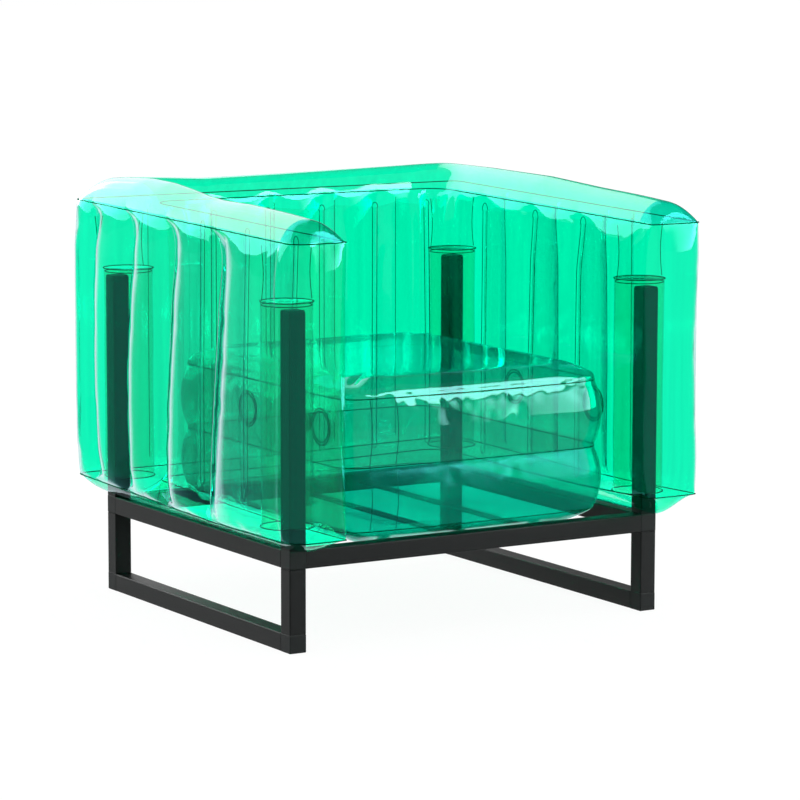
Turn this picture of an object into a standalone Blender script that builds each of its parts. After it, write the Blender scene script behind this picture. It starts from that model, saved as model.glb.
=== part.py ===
# Inflatable lounge chair: clear film arms, back and seat on a frame of square steel tube.
# Metres, +Z is up and the front faces -Y. The origin is on the floor, under the middle of the chair.

import math

import bmesh
import bpy
from mathutils import Matrix, Vector

# Square tube
tube_side = 0.032
tube_wall = 0.0015
tube_edge_radius = 0.002
tube_edge_steps = 3

# Frame, outside to outside
frame_width = 0.754
frame_depth = 0.680
frame_height = 0.176
post_reach = 0.408

# Clearances
part_gap = 0.0003
cut_overrun = 0.004

# Corner blocks and the spigots that the tubes slide on
spigot_length = 0.030
spigot_lead = 0.0015
block_edge_radius = 0.0012
block_edge_steps = 2

# Caps on the posts
cap_height = 0.003
cap_plug_length = 0.010
cap_edge_radius = 0.0045

# Flat slats under the seat
slat_count = 3
slat_spacing = 0.155
slat_width = 0.022
slat_thickness = 0.003
slat_drop = 0.016
slat_reach = 0.010

# Screws that hold the posts and the cross rails on their spigots
screw_head_radius = 0.0045
screw_head_rim = 0.0032
screw_head_height = 0.0024
screw_shank_radius = 0.0025
screw_length = 0.009
screw_socket_radius = 0.0016
screw_socket_depth = 0.0014
screw_from_block = 0.015
screw_sides = 8

# Arms and back: one inflated body, its seams measured corner to corner.
# The side walls stand centred over the posts.
wall_thickness = 0.104
front_overhang = 0.077
rear_overhang = 0.051
lobe_swell = 0.009
weld_draw = 0.005
lobe_steps = 4
lobe_fade = 0.045
outer_corner_radius = 0.015
outer_corner_steps = 3
inner_corner_radius = 0.045
inner_corner_steps = 4
bottom_seam_rise = 0.032
front_seam_rise = 0.530
rear_seam_rise = 0.546
body_crown = 0.038

# Where the upright welds lie along each wall, as shares from the front or from the left
left_outer_weld_shares = (0.324, 0.544, 0.749, 0.919)
right_outer_weld_shares = (0.233, 0.332, 0.541, 0.770)
left_inner_weld_shares = (0.255, 0.511, 0.759)
right_inner_weld_shares = (0.348, 0.587, 0.837)
inner_back_weld_shares = (0.163, 0.381, 0.598, 0.816)
outer_back_weld_shares = (0.15, 0.32, 0.50, 0.68, 0.85)

# Webs: film folded to and fro inside the walls, from weld to weld, which keeps them thin.
# Each starts at a sleeve and stands in a slot of the body.
web_thickness = 0.0008
web_from_film = 0.0015
web_bottom_rise = 0.024
web_top_drop = 0.020

# The crown above the top seam: how far in from the seam, and how high, as shares
crown_inset_shares = (0.25, 0.75)
crown_rise_shares = (0.66, 1.0)
underside_inset_share = 0.6

# Closed sleeves of film that stand round the posts, each leaning on its post as in the photograph.
# A lean is a share of the room that the post has in the sleeve, to the right and to the rear.
sleeve_margin = 0.007
sleeve_wall = 0.0008
sleeve_headroom = 0.013
sleeve_rim_rise = 0.038
sleeve_sides = 16
sleeve_turn = math.pi / sleeve_sides
sleeve_lean_shares = {
    ("left", "front"): (0.0, 0.95),
    ("right", "front"): (0.0, 0.95),
    ("left", "rear"): (0.82, -0.46),
    ("right", "rear"): (0.0, 0.0),
}

# Seat cushion: its place between the walls, and its seams above the rails
seat_side_gap = 0.023
seat_rear_gap = 0.003
seat_corner_radius = 0.030
seat_corner_steps = 4
seat_bottom_seam_rise = 0.019
seat_lower_tier = 0.111
seat_upper_tier = 0.118
seat_swell = 0.012
seat_crown = 0.028
seat_tier_fade = 0.027
seat_top_fade = 0.018
seat_side_steps = 5
seat_foot_inset = 0.036
seat_sag_inset = 0.075
seat_crown_insets = (0.030, 0.090, 0.170)
seat_crown_rise_shares = (0.52, 0.85, 1.0)

# Round welded discs on the sides of the seat, from its front seam
disc_radius = 0.032
disc_thickness = 0.0012
disc_rim_width = 0.004
disc_rim_rise = 0.0008
disc_sides = 20
disc_from_front = (0.062, 0.318)

# Air valves: a flanged stem welded into a recess in the film, and a hinged stopper
valve_flange_radius = 0.020
valve_flange_thickness = 0.0016
valve_stem_radius = 0.010
valve_bore_radius = 0.0065
valve_stem_length = 0.018
valve_recess = 0.0050
valve_sides = 16
stopper_lid_radius = 0.011
stopper_lid_thickness = 0.0024
stopper_plug_radius = 0.0061
stopper_plug_end_radius = 0.0050
stopper_plug_length = 0.004
stopper_tab_reach = 0.016
stopper_tab_half_width = 0.003
welds_beside_back_valve_count = 2
back_valve_rise = 0.060
seat_valve_depth_share = 0.78

# Places that follow from the sizes above
side_line = (frame_width - tube_side) / 2
half_body_width = side_line + wall_thickness / 2
half_body_depth = (front_overhang + frame_depth + rear_overhang) / 2
seat_front = front_overhang - half_body_depth
front_line = seat_front + tube_side / 2
rear_line = front_line + frame_depth - tube_side
foot_line = tube_side / 2
tube_inner_radius = 2 * part_gap
rail_line = frame_height - tube_side / 2
post_top = frame_height + post_reach
slat_top = frame_height - slat_drop
bottom_seam_height = frame_height + bottom_seam_rise
sleeve_radius = wall_thickness / 2 - sleeve_margin
half_seat_width = half_body_width - wall_thickness - lobe_swell - seat_side_gap - seat_swell
seat_rear = half_body_depth - wall_thickness - lobe_swell - seat_rear_gap - seat_swell
seat_bottom_seam = frame_height + seat_bottom_seam_rise
seat_middle_seam = seat_bottom_seam + seat_lower_tier
seat_top_seam = seat_middle_seam + seat_upper_tier
side_places = {"left": -side_line, "right": side_line}
end_places = {"front": front_line, "rear": rear_line}


def clear_scene():
    for old in list(bpy.data.objects):
        bpy.data.objects.remove(old, do_unlink=True)


def make_material(name, colour, roughness, metallic=0.0, alpha=1.0):
    material = bpy.data.materials.new(name)
    material.use_nodes = True
    shader = material.node_tree.nodes["Principled BSDF"]
    shader.inputs["Base Color"].default_value = (*colour, 1.0)
    shader.inputs["Roughness"].default_value = roughness
    shader.inputs["Metallic"].default_value = metallic
    shader.inputs["Alpha"].default_value = alpha
    return material


def place(name, bm, material, location=(0, 0, 0), turn=None, smooth_angle=None):
    """Turn a bmesh into a named object with one material."""
    bmesh.ops.recalc_face_normals(bm, faces=bm.faces)
    mesh = bpy.data.meshes.new(name)
    bm.to_mesh(mesh)
    bm.free()
    if material is not None:
        mesh.materials.append(material)
    if smooth_angle is not None:
        mesh.shade_smooth()
        mesh.set_sharp_from_angle(angle=math.radians(smooth_angle))
    obj = bpy.data.objects.new(name, mesh)
    bpy.context.collection.objects.link(obj)
    obj.location = location
    if turn is not None:
        obj.rotation_euler = turn
    return obj


def make_cutter(name, bm):
    obj = place(name, bm, None)
    obj.hide_render = True
    obj.display_type = "WIRE"
    return obj


def cut(obj, cutter):
    boolean = obj.modifiers.new("cut", "BOOLEAN")
    boolean.operation = "DIFFERENCE"
    boolean.solver = "EXACT"
    boolean.object = cutter


def skin(bm, rings, close=False):
    """Join rings of equal count. A closed row of rings makes a tube wall, an open one gets two caps."""
    rows = [[bm.verts.new(point) for point in ring] for ring in rings]
    pairs = list(zip(rows, rows[1:]))
    if close:
        pairs.append((rows[-1], rows[0]))
    else:
        bm.faces.new(rows[0])
        bm.faces.new(rows[-1])
    for low, high in pairs:
        for i in range(len(low)):
            j = (i + 1) % len(low)
            bm.faces.new((low[i], low[j], high[j], high[i]))


def circle(radius, height, sides, turn=0.0):
    angles = [turn + math.tau * i / sides for i in range(sides)]
    return [Vector((radius * math.cos(a), radius * math.sin(a), height)) for a in angles]


def rounded_outline(half_x, half_y, radius, steps, side_steps=1):
    """Corner arcs joined by straight sides, counter-clockwise from the +X side."""
    points = []
    corners = ((1, -1), (1, 1), (-1, 1), (-1, -1))
    for index, (sx, sy) in enumerate(corners):
        centre = Vector((sx * (half_x - radius), sy * (half_y - radius)))
        start = math.radians(90 * index - 90)
        arc = []
        for step in range(steps + 1):
            angle = start + math.radians(90) * step / steps
            arc.append(centre + radius * Vector((math.cos(angle), math.sin(angle))))
        if points:
            points += run_between(points[-1], arc[0], side_steps)
        points += arc
    points += run_between(points[-1], points[0], side_steps)
    return points


def run_between(start, end, steps):
    return [start.lerp(end, step / steps) for step in range(1, steps)]


def at_height(outline, height):
    return [Vector((point.x, point.y, height)) for point in outline]


def square_ring(side, radius, height):
    return at_height(rounded_outline(side / 2, side / 2, radius, tube_edge_steps), height)


# Turns that lay a piece modelled along +Z on another axis
turn_for_axis = {"x": (0, math.radians(90), 0), "y": (math.radians(-90), 0, 0), "z": (0, 0, 0)}


def square_tube(name, start, length, axis, material):
    bm = bmesh.new()
    inner_side = tube_side - 2 * tube_wall
    skin(bm, [
        square_ring(tube_side, tube_edge_radius, 0),
        square_ring(tube_side, tube_edge_radius, length),
        square_ring(inner_side, tube_inner_radius, length),
        square_ring(inner_side, tube_inner_radius, 0),
    ], close=True)
    return place(name, bm, material, start, turn_for_axis[axis], smooth_angle=40)


def corner_block(name, centre, directions, material):
    """A cube the size of the tube, with one spigot for each tube that meets it."""
    bm = bmesh.new()
    bmesh.ops.create_cube(bm, size=tube_side)
    bmesh.ops.bevel(bm, geom=bm.edges[:], offset=block_edge_radius, segments=block_edge_steps,
                    profile=0.5, affect="EDGES")
    for direction in directions:
        normal = Vector(direction)
        bm.faces.ensure_lookup_table()
        face = max(bm.faces, key=lambda f: (round(f.normal.dot(normal), 4), f.calc_area()))
        step_in = tube_wall + part_gap - block_edge_radius
        bmesh.ops.inset_individual(bm, faces=[face], thickness=step_in, use_even_offset=True)
        for reach, narrowing in ((spigot_length - spigot_lead, 0), (spigot_lead, spigot_lead)):
            face = bmesh.ops.extrude_discrete_faces(bm, faces=[face])["faces"][0]
            middle = face.calc_center_median()
            half_side = (face.verts[0].co - middle).length / math.sqrt(2)
            for vert in face.verts:
                offset = (vert.co - middle) * (1 - narrowing / half_side)
                vert.co = middle + offset + normal * reach
    return place(name, bm, material, centre, smooth_angle=40)


def post_cap(name, centre, material):
    bm = bmesh.new()
    plug_side = tube_side - 2 * tube_wall - 2 * part_gap
    shoulder = tube_side - 2 * block_edge_radius
    skin(bm, [
        square_ring(plug_side, cap_edge_radius, -cap_plug_length),
        square_ring(plug_side, cap_edge_radius, 0),
        square_ring(tube_side, cap_edge_radius, 0),
        square_ring(tube_side, cap_edge_radius, cap_height - block_edge_radius),
        square_ring(shoulder, cap_edge_radius - block_edge_radius, cap_height),
    ])
    return place(name, bm, material, centre, smooth_angle=40)


def screw_places():
    """Each screw's name, its seat on the outside of a tube and the way it faces."""
    found = []
    reach = tube_side / 2 + screw_from_block
    for side, x in side_places.items():
        inward_x = Vector((-1, 0, 0)) if x > 0 else Vector((1, 0, 0))
        for end, y in end_places.items():
            inward_y = Vector((0, -1, 0)) if end == "rear" else Vector((0, 1, 0))
            block = Vector((x, y, rail_line))
            on_post = block + Vector((0, 0, reach)) + inward_x * (tube_side / 2)
            on_rail = block + inward_x * reach + inward_y * (tube_side / 2)
            found.append((f"post_screw_{side}_{end}", on_post, inward_x))
            found.append((f"rail_screw_{side}_{end}", on_rail, inward_y))
    return found


def facing(direction):
    """The turn that stands +Z along a direction."""
    return Vector((0, 0, 1)).rotation_difference(Vector(direction))


def along(direction, seat):
    return Matrix.Translation(seat) @ facing(direction).to_matrix().to_4x4()


def add_turned(bm, rings, matrix, close=False):
    skin(bm, [[matrix @ point for point in ring] for ring in rings], close)


def build_screws(material):
    head = part_gap + screw_head_height
    for name, seat, direction in screw_places():
        bm = bmesh.new()
        skin(bm, [
            circle(screw_shank_radius, -screw_length, screw_sides),
            circle(screw_shank_radius, part_gap, screw_sides),
            circle(screw_head_radius, part_gap, screw_sides),
            circle(screw_head_radius, part_gap + screw_head_height / 2, screw_sides),
            circle(screw_head_rim, head, screw_sides),
            circle(screw_socket_radius, head, screw_sides),
            circle(screw_socket_radius, head - screw_socket_depth, screw_sides),
        ])
        place(name, bm, material, seat, facing(direction).to_euler(), smooth_angle=40)


def screw_hole_cutter():
    bm = bmesh.new()
    radius = screw_shank_radius + part_gap
    for _, seat, direction in screw_places():
        add_turned(bm, [
            circle(radius, -screw_length - part_gap, screw_sides),
            circle(radius, cut_overrun, screw_sides),
        ], along(direction, seat))
    return make_cutter("cut_screw_holes", bm)


def slat_places():
    middle = (slat_count - 1) / 2
    return [(index - middle) * slat_spacing for index in range(slat_count)]


def slat_box(bm, x, grow, extra_reach):
    reach = slat_reach + extra_reach
    front = front_line + tube_side / 2 - reach
    rear = rear_line - tube_side / 2 + reach
    size = Vector((slat_width + 2 * grow, rear - front, slat_thickness + 2 * grow))
    centre = Vector((x, (front + rear) / 2, slat_top - slat_thickness / 2))
    matrix = Matrix.Translation(centre) @ Matrix.Diagonal((*size, 1))
    bmesh.ops.create_cube(bm, size=1, matrix=matrix)


def build_frame(steel, block_metal, plastic, bolt_steel):
    holes = screw_hole_cutter()
    clear = tube_side / 2 + part_gap
    for side, x in side_places.items():
        for end, y in end_places.items():
            inward_x = (-1, 0, 0) if x > 0 else (1, 0, 0)
            inward_y = (0, -1, 0) if end == "rear" else (0, 1, 0)
            tag = f"{side}_{end}"
            foot_ways = ((0, 0, 1), inward_y)
            corner_block(f"foot_block_{tag}", (x, y, foot_line), foot_ways, block_metal)
            top_ways = ((0, 0, -1), (0, 0, 1), inward_y, inward_x)
            top = corner_block(f"top_block_{tag}", (x, y, rail_line), top_ways, block_metal)
            leg_length = rail_line - foot_line - 2 * clear
            square_tube(f"leg_{tag}", (x, y, foot_line + clear), leg_length, "z", steel)
            post_start = rail_line + clear
            post_length = post_top - cap_height - part_gap - post_start
            post = square_tube(f"post_{tag}", (x, y, post_start), post_length, "z", steel)
            post_cap(f"post_cap_{tag}", (x, y, post_top - cap_height), plastic)
            for piece in (top, post):
                cut(piece, holes)
        rail_length = rear_line - front_line - 2 * clear
        for name, height in (("skid", foot_line), ("side_rail", rail_line)):
            start = (x, front_line + clear, height)
            square_tube(f"{name}_{side}", start, rail_length, "y", steel)

    slots = bmesh.new()
    for x in slat_places():
        slat_box(slots, x, part_gap, part_gap)
    slot_cutter = make_cutter("cut_slat_slots", slots)
    for end, y in end_places.items():
        start = (-side_line + clear, y, rail_line)
        rail = square_tube(f"cross_rail_{end}", start, 2 * (side_line - clear), "x", steel)
        cut(rail, holes)
        cut(rail, slot_cutter)
    for name, x in zip(("left", "middle", "right"), slat_places()):
        bm = bmesh.new()
        slat_box(bm, x, 0, 0)
        place(f"slat_{name}", bm, steel)
    build_screws(bolt_steel)


def lobed_run(start, end, weld_shares, swell, draw):
    """Points from start to end, swelling between the welds and drawn in at them, without the ends."""
    direction = (end - start).normalized()
    outward = Vector((direction.y, -direction.x))
    stops = [0, *weld_shares, 1]
    points = []
    for low, high in zip(stops, stops[1:]):
        for step in range(1, lobe_steps + 1):
            share = step / lobe_steps
            where = start.lerp(end, low + (high - low) * share)
            proud = -draw if step == lobe_steps else swell * math.sin(math.pi * share)
            points.append(where + outward * proud)
    return points[:-1]


def from_other_end(shares):
    return [1 - share for share in reversed(shares)]


def body_outline(inset, swell=0, draw=0):
    """The U of arms and back seen from above, counter-clockwise, moved in by inset."""
    x = half_body_width - inset
    inner_x = half_body_width - wall_thickness + inset
    front = inset - half_body_depth
    rear = half_body_depth - inset
    inner_y = half_body_depth - wall_thickness + inset
    outer_radius = max(outer_corner_radius - inset, part_gap)
    inner_radius = inner_corner_radius + inset
    stations = [
        (-x, front, outer_radius, ()),
        (-inner_x, front, outer_radius, left_inner_weld_shares),
        (-inner_x, inner_y, inner_radius, inner_back_weld_shares),
        (inner_x, inner_y, inner_radius, from_other_end(right_inner_weld_shares)),
        (inner_x, front, outer_radius, ()),
        (x, front, outer_radius, right_outer_weld_shares),
        (x, rear, outer_radius, from_other_end(outer_back_weld_shares)),
        (-x, rear, outer_radius, from_other_end(left_outer_weld_shares)),
    ]
    arcs = []
    count = len(stations)
    for index, (px, py, radius, _) in enumerate(stations):
        corner = Vector((px, py))
        before = Vector(stations[index - 1][:2])
        after = Vector(stations[(index + 1) % count][:2])
        way_in = (corner - before).normalized()
        way_out = (after - corner).normalized()
        centre = corner + (way_out - way_in) * radius
        steps = inner_corner_steps if py == inner_y else outer_corner_steps
        arc = []
        for step in range(steps + 1):
            angle = math.radians(90) * step / steps
            arc.append(centre + radius * (way_in * math.sin(angle) - way_out * math.cos(angle)))
        arcs.append(arc)
    points = []
    for index, arc in enumerate(arcs):
        following = arcs[(index + 1) % count]
        points += arc
        points += lobed_run(arc[-1], following[0], stations[index][3], swell, draw)
    return points


def top_seam_height(y):
    rear_share = (y + half_body_depth) / (2 * half_body_depth)
    return frame_height + front_seam_rise + (rear_seam_rise - front_seam_rise) * rear_share


def sleeve_centre(side, end):
    room = sleeve_radius - sleeve_wall - tube_side / math.sqrt(2)
    lean = room * Vector(sleeve_lean_shares[(side, end)])
    return Vector((side_places[side] + lean.x, end_places[end] + lean.y, 0))


def sleeve_ring(radius, height):
    return circle(radius, height, sleeve_sides, sleeve_turn)


def pocket_cutter():
    bm = bmesh.new()
    radius = sleeve_radius + part_gap / math.cos(sleeve_turn)
    for side in side_places:
        for end in end_places:
            matrix = Matrix.Translation(sleeve_centre(side, end))
            rings = [
                sleeve_ring(radius, frame_height - cut_overrun),
                sleeve_ring(radius, post_top + sleeve_headroom + part_gap),
            ]
            add_turned(bm, rings, matrix)
    return make_cutter("cut_sleeve_pockets", bm)


def arm_weld_places(side_x, outer_shares, inner_shares):
    """The welds of one arm seen from above, as (outer or not, place), each just inside its film."""
    inset = weld_draw + web_from_film
    direction = math.copysign(1, side_x)
    start = outer_corner_radius - half_body_depth
    outer_x = direction * (half_body_width - inset)
    inner_x = direction * (half_body_width - wall_thickness + inset)
    inner_end = half_body_depth - wall_thickness - inner_corner_radius
    return [(True, Vector((outer_x, start + share * -2 * start))) for share in outer_shares] + [
        (False, Vector((inner_x, start + share * (inner_end - start)))) for share in inner_shares]


def back_weld_places():
    inset = weld_draw + web_from_film
    outer_end = half_body_width - outer_corner_radius
    inner_end = half_body_width - wall_thickness - inner_corner_radius
    outer_y = half_body_depth - inset
    inner_y = half_body_depth - wall_thickness + inset
    return [(True, Vector((outer_end * (2 * share - 1), outer_y))) for share in outer_back_weld_shares] + [
        (False, Vector((inner_end * (2 * share - 1), inner_y))) for share in inner_back_weld_shares]


def web_paths():
    """Each web seen from above: from the middle of a sleeve to and fro between the two films."""
    walls = {
        "left": (("left", "front"), 1,
                 arm_weld_places(-side_line, left_outer_weld_shares, left_inner_weld_shares)),
        "right": (("right", "front"), 1,
                  arm_weld_places(side_line, right_outer_weld_shares, right_inner_weld_shares)),
        "back": (("left", "rear"), 0, back_weld_places()),
    }
    paths = {}
    for name, (sleeve, axis, welds) in walls.items():
        welds.sort(key=lambda weld: weld[1][axis])
        path = [sleeve_centre(*sleeve).to_2d(), welds[0][1]]
        for (last_is_outer, _), (is_outer, place) in zip(welds, welds[1:]):
            if is_outer == last_is_outer:
                break
            path.append(place)
        paths[name] = path
    return paths


def folded_strip(bm, path, half_thickness, low, high):
    """A thin upright strip along the path, mitred at its folds, as one closed body."""
    edges = []
    for index, point in enumerate(path):
        before = path[max(index - 1, 0)]
        after = path[min(index + 1, len(path) - 1)]
        way_in = (point - before).normalized() if index else (after - point).normalized()
        way_out = (after - point).normalized() if index < len(path) - 1 else way_in
        across_in = Vector((-way_in.y, way_in.x))
        mitre = (across_in + Vector((-way_out.y, way_out.x))).normalized()
        reach = half_thickness / mitre.dot(across_in)
        corners = []
        for height in (low, high):
            for side in (1, -1):
                place = point + side * reach * mitre
                corners.append(bm.verts.new((place.x, place.y, height)))
        edges.append(corners)
    for (a, b, c, d), (e, f, g, h) in zip(edges, edges[1:]):
        bm.faces.new((a, e, f, b))
        bm.faces.new((c, d, h, g))
        bm.faces.new((a, c, g, e))
        bm.faces.new((b, f, h, d))
    a, b, c, d = edges[0]
    e, f, g, h = edges[-1]
    bm.faces.new((a, b, d, c))
    bm.faces.new((e, g, h, f))


def web_heights():
    return bottom_seam_height + web_bottom_rise, frame_height + front_seam_rise - web_top_drop


def web_slot_cutter(path):
    bm = bmesh.new()
    low, high = web_heights()
    end_way = (path[-1] - path[-2]).normalized()
    slot_path = [*path[:-1], path[-1] + end_way * part_gap]
    folded_strip(bm, slot_path, web_thickness / 2 + part_gap, low - part_gap, high + part_gap)
    return make_cutter("cut_web_slot", bm)


def build_webs(film):
    low, high = web_heights()
    for name, path in web_paths().items():
        bm = bmesh.new()
        start_way = (path[1] - path[0]).normalized()
        start = path[0] + start_way * (sleeve_radius + 2 * part_gap)
        folded_strip(bm, [start, *path[1:]], web_thickness / 2, low, high)
        place(f"web_{name}", bm, film)


def build_body(film):
    half_wall = wall_thickness / 2
    flat = body_outline(half_wall * underside_inset_share)
    plain = body_outline(0)
    lobed = body_outline(0, lobe_swell, weld_draw)
    rings = [
        at_height(flat, frame_height + part_gap),
        at_height(plain, bottom_seam_height),
        at_height(lobed, bottom_seam_height + lobe_fade),
        [Vector((p.x, p.y, top_seam_height(p.y) - lobe_fade)) for p in lobed],
        [Vector((p.x, p.y, top_seam_height(p.y))) for p in plain],
    ]
    for inset_share, rise_share in zip(crown_inset_shares, crown_rise_shares):
        outline = body_outline(half_wall * inset_share)
        rise = body_crown * rise_share
        rings.append([Vector((p.x, p.y, top_seam_height(p.y) + rise)) for p in outline])
    bm = bmesh.new()
    skin(bm, rings)
    body = place("back_and_arms", bm, film, smooth_angle=60)
    cut(body, pocket_cutter())
    for path in web_paths().values():
        cut(body, web_slot_cutter(path))
    return body


def build_sleeves(film):
    for side in side_places:
        for end in end_places:
            bm = bmesh.new()
            inner = sleeve_radius - sleeve_wall
            top = post_top + sleeve_headroom
            rim = frame_height + sleeve_rim_rise
            skin(bm, [
                sleeve_ring(inner, top - sleeve_wall),
                sleeve_ring(inner, rim),
                sleeve_ring(sleeve_radius, rim),
                sleeve_ring(sleeve_radius, top),
            ])
            place(f"sleeve_{side}_{end}", bm, film, sleeve_centre(side, end), smooth_angle=40)


def seat_outline(grow):
    """The seat seen from above, with its seams at grow zero and the plan centred on its own middle."""
    half_x = half_seat_width + grow
    half_y = (seat_rear - seat_front) / 2 + grow
    radius = max(seat_corner_radius + grow, part_gap)
    return rounded_outline(half_x, half_y, radius, seat_corner_steps, seat_side_steps)


def build_seat(film):
    rings = [
        at_height(seat_outline(-seat_sag_inset), slat_top + part_gap),
        at_height(seat_outline(-seat_foot_inset), frame_height + part_gap),
        at_height(seat_outline(0), seat_bottom_seam),
        at_height(seat_outline(seat_swell), seat_bottom_seam + seat_tier_fade),
        at_height(seat_outline(seat_swell), seat_middle_seam - seat_tier_fade),
        at_height(seat_outline(0), seat_middle_seam),
        at_height(seat_outline(seat_swell), seat_middle_seam + seat_tier_fade),
        at_height(seat_outline(seat_swell), seat_top_seam - seat_top_fade),
        at_height(seat_outline(0), seat_top_seam),
    ]
    for inset, rise_share in zip(seat_crown_insets, seat_crown_rise_shares):
        rings.append(at_height(seat_outline(-inset), seat_top_seam + seat_crown * rise_share))
    middle = Vector((0, (seat_front + seat_rear) / 2, 0))
    bm = bmesh.new()
    skin(bm, [[middle + point for point in ring] for ring in rings])
    return place("seat_cushion", bm, film, smooth_angle=50)


def build_discs(film):
    height = seat_top_seam - seat_top_fade - disc_radius
    ledge = disc_thickness - disc_rim_rise
    for side in side_places:
        outward = Vector((1, 0, 0)) if side == "right" else Vector((-1, 0, 0))
        for end, from_front in zip(end_places, disc_from_front):
            bm = bmesh.new()
            rings = [
                circle(disc_radius, 0, disc_sides),
                circle(disc_radius, disc_thickness, disc_sides),
                circle(disc_radius - disc_rim_width, disc_thickness, disc_sides),
                circle(disc_radius - disc_rim_width, ledge, disc_sides),
            ]
            x = half_seat_width + seat_swell + part_gap
            seat_point = Vector((outward.x * x, seat_front + from_front, height))
            add_turned(bm, rings, along(outward, seat_point))
            place(f"seat_disc_{side}_{end}", bm, film, smooth_angle=40)


def valve_matrix(seat, outward, hinge_side):
    """Local +Z leaves the film, local +Y points to the hinge of the stopper."""
    z_axis = Vector(outward)
    y_axis = Vector(hinge_side)
    x_axis = y_axis.cross(z_axis)
    turn = Matrix((x_axis, y_axis, z_axis)).transposed().to_4x4()
    return Matrix.Translation(seat) @ turn


def stopper_outline(height):
    """A round lid with a tab that reaches to the hinge line."""
    points = circle(stopper_lid_radius, height, valve_sides)
    quarter = valve_sides // 4
    for step, x_sign in ((-1, 1), (0, 0), (1, -1)):
        points[quarter + step] = Vector((x_sign * stopper_tab_half_width, stopper_tab_reach, height))
    return points


def back_valve_matrix():
    """On the crest of a lobe low on the rear wall, with the stopper's hinge at the top."""
    first = welds_beside_back_valve_count
    lobe_welds = outer_back_weld_shares[first:first + 2]
    run_end = half_body_width - outer_corner_radius
    x = run_end * (sum(lobe_welds) - 1)
    height = bottom_seam_height + back_valve_rise
    seat = Vector((x, half_body_depth + lobe_swell, height))
    return valve_matrix(seat, (0, 1, 0), (0, 0, 1))


def seat_valve_matrix():
    """On the flat underside, halfway between two slats."""
    y = seat_front + (seat_rear - seat_front) * seat_valve_depth_share
    seat = Vector((-slat_spacing / 2, y, slat_top + part_gap))
    return valve_matrix(seat, (0, 0, -1), (0, 1, 0))


def build_valve(name, holder, matrix, clear_plastic):
    """Cut the recess and the stem's bore in the holder, then add the stem and the stopper."""
    floor = -valve_recess
    cutter = bmesh.new()
    grown = valve_flange_radius + part_gap
    stem = valve_stem_radius + part_gap
    add_turned(cutter, [
        circle(stem, floor - valve_stem_length - part_gap, valve_sides),
        circle(stem, floor, valve_sides),
        circle(grown, floor, valve_sides),
        circle(grown, cut_overrun, valve_sides),
    ], matrix)
    cut(holder, make_cutter(f"cut_valve_{name}", cutter))

    low = floor + part_gap
    high = low + valve_flange_thickness
    bm = bmesh.new()
    add_turned(bm, [
        circle(valve_bore_radius, floor - valve_stem_length, valve_sides),
        circle(valve_stem_radius, floor - valve_stem_length, valve_sides),
        circle(valve_stem_radius, low, valve_sides),
        circle(valve_flange_radius, low, valve_sides),
        circle(valve_flange_radius, high, valve_sides),
        circle(valve_bore_radius, high, valve_sides),
    ], matrix, close=True)
    place(f"valve_stem_{name}", bm, clear_plastic, smooth_angle=40)

    pivot = Vector((0, stopper_tab_reach, high + part_gap + stopper_lid_thickness / 2))
    half_lid = stopper_lid_thickness / 2
    local = Matrix.Translation(-pivot)
    under = pivot.z - half_lid
    rings = [
        circle(stopper_plug_end_radius, under - stopper_plug_length, valve_sides),
        circle(stopper_plug_radius, under, valve_sides),
        stopper_outline(under),
        stopper_outline(pivot.z + half_lid),
    ]
    bm = bmesh.new()
    turn = matrix.to_3x3().to_4x4()
    add_turned(bm, rings, turn @ local)
    place(f"valve_stopper_{name}", bm, clear_plastic, matrix @ pivot, smooth_angle=40)


def build_chair():
    clear_scene()
    steel = make_material("powder_coated_steel", (0.021, 0.025, 0.025), 0.5)
    block_metal = make_material("powder_coated_cast_block", (0.021, 0.025, 0.025), 0.5)
    plastic = make_material("black_plug_plastic", (0.012, 0.014, 0.014), 0.4)
    bolt_steel = make_material("black_oxide_screw", (0.03, 0.03, 0.03), 0.35, metallic=1.0)
    film = make_material("clear_green_film", (0.0, 0.60, 0.34), 0.08, alpha=0.45)
    sleeve_film = make_material("clear_sleeve_film", (0.0, 0.50, 0.30), 0.10, alpha=0.35)
    clear_plastic = make_material("clear_valve_plastic", (0.10, 0.62, 0.42), 0.25, alpha=0.7)

    build_frame(steel, block_metal, plastic, bolt_steel)
    body = build_body(film)
    build_sleeves(sleeve_film)
    build_webs(film)
    seat = build_seat(film)
    build_discs(film)

    build_valve("back", body, back_valve_matrix(), clear_plastic)
    build_valve("seat", seat, seat_valve_matrix(), clear_plastic)


build_chair()
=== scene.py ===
import math

import bmesh
import bpy
import numpy as np
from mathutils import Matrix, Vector
from mathutils.noise import noise


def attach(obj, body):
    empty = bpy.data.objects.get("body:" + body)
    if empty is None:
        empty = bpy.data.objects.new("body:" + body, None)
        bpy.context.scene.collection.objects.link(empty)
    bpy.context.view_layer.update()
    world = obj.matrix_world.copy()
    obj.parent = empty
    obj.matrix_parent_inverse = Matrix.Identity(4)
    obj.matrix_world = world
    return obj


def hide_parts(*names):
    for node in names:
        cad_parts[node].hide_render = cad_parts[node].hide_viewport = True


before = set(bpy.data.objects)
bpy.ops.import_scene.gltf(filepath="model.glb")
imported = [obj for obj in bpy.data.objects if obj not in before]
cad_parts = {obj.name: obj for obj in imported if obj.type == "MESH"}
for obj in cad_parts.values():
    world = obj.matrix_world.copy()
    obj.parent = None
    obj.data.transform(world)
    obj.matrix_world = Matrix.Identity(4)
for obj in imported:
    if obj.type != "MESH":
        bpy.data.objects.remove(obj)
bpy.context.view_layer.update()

# Camera: the photograph's place and lens
camera_place = (-3.3434, -5.5557, 1.2875)
camera_turn = (math.radians(90 - 7.957), math.radians(-0.118), math.radians(-31.332))
camera_lens = 163.1
camera_shift = (-0.00125, -0.009125)

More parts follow.
